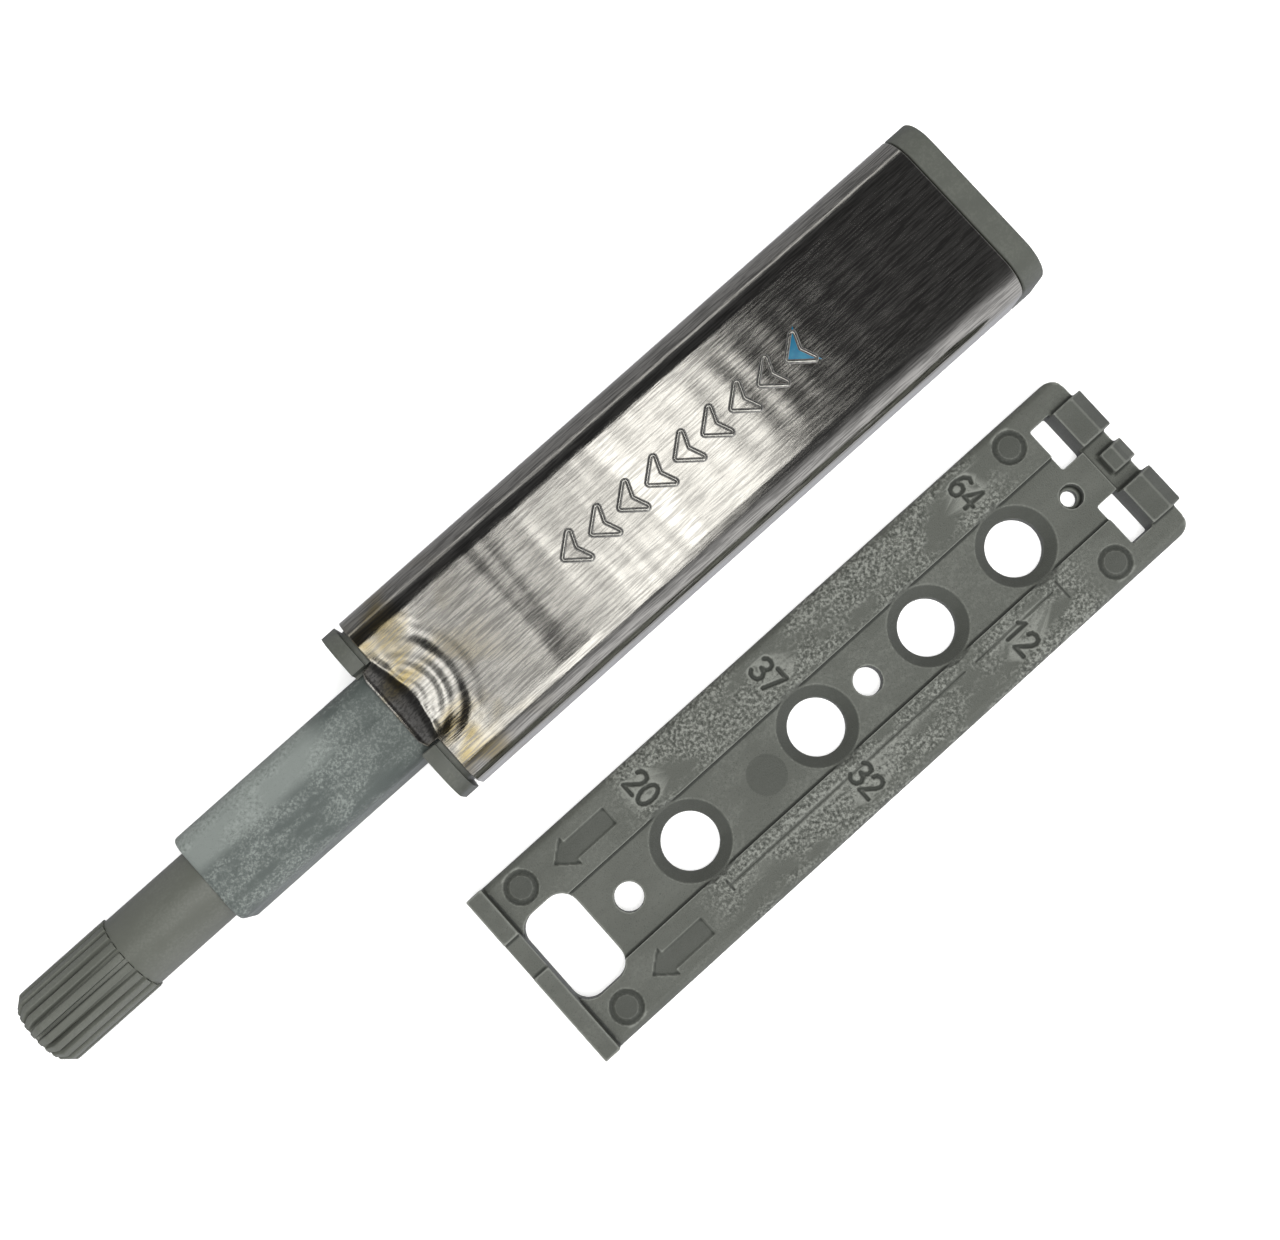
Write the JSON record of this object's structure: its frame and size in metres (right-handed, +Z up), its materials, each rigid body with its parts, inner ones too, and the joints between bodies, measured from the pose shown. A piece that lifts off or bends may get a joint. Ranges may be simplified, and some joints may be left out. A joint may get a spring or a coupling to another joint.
{
  "type": "push-to-open door latch with mounting plate",
  "caption": "Push-to-open ejector latch for handleless cabinet doors: steel-cased magnetic plunger with a screw-in tip, and its clip-on mounting plate.",
  "frame": {"origin": "on the surface that the set lies on, under the middle of the set's bounding box", "axes": "+X out of the casing's front along the plunger, +Y from the latch towards the mounting plate, +Z up"},
  "size_m": [0.1212, 0.0486, 0.013],
  "materials": {
    "brushed_sheet_steel": "bright sheet steel, drawn lengthwise, with a soft waviness",
    "grey_moulding": "warm grey moulded plastic, satin",
    "sleeve_moulding": "greenish grey moulded plastic with flow marks",
    "rod_moulding": "grey moulded plastic, satin",
    "plate_moulding": "grey moulded plastic, spark-eroded grain in patches",
    "white_acetal": "natural acetal",
    "black_rubber": "soft elastomer",
    "bright_steel": "plated steel",
    "nickel_magnet": "nickel plating"
  },
  "bodies": {
    "casing": {"steel_casing": "brushed_sheet_steel", "guide_body": "grey_moulding", "rear_cap": "grey_moulding", "front_bumpers": "black_rubber", "rear_buffer": "black_rubber", "spring_guide_rod": "bright_steel", "follower_rivet": "bright_steel", "follower_leaf_spring": "bright_steel", "ejector_spring": "bright_steel"},
    "plunger": {"plunger_sleeve": "sleeve_moulding", "cam_carriage": "white_acetal", "carriage_pin": "bright_steel", "heart_cam": "white_acetal"},
    "thrust": {"spring_seat": "white_acetal"},
    "tip": {"threaded_rod": "rod_moulding", "rod_friction_ring": "black_rubber", "ribbed_tip": "rod_moulding", "magnet_cup": "bright_steel", "tip_magnet": "nickel_magnet"},
    "follower": {"cam_follower": "bright_steel"},
    "plate": {"mounting_plate": "plate_moulding"}
  },
  "joints": [
    {"name": "plunger_push", "type": "slide", "parent": "casing", "child": "plunger", "axis": [1, 0, 0], "range_m": [-0.038, 0], "stiffness_N_per_m": 110, "springref_m": 0.03, "deforming": ["ejector_spring"]},
    {"name": "tip_turn", "type": "hinge", "parent": "thrust", "child": "tip", "pos_m": [0, -0.01415, 0.0065], "axis": [1, 0, 0], "range_deg": [-1440, 0]},
    {"name": "tip_depth", "type": "slide", "parent": "plunger", "child": "thrust", "axis": [1, 0, 0], "range_m": [-0.006, 0]},
    {"name": "follower_swing", "type": "hinge", "parent": "casing", "child": "follower", "pos_m": [-0.05045, -0.01015, 0.0023], "axis": [0, 0, 1], "range_deg": [0, 10]},
    {"name": "plate_lift", "type": "slide", "parent": "casing", "child": "plate", "axis": [0, 0, 1], "range_m": [0, 0.03]}
  ],
  "couplings": [
    {"joint": "tip_turn", "follows": "tip_depth", "rad_per_m": 4188.8}
  ]
}
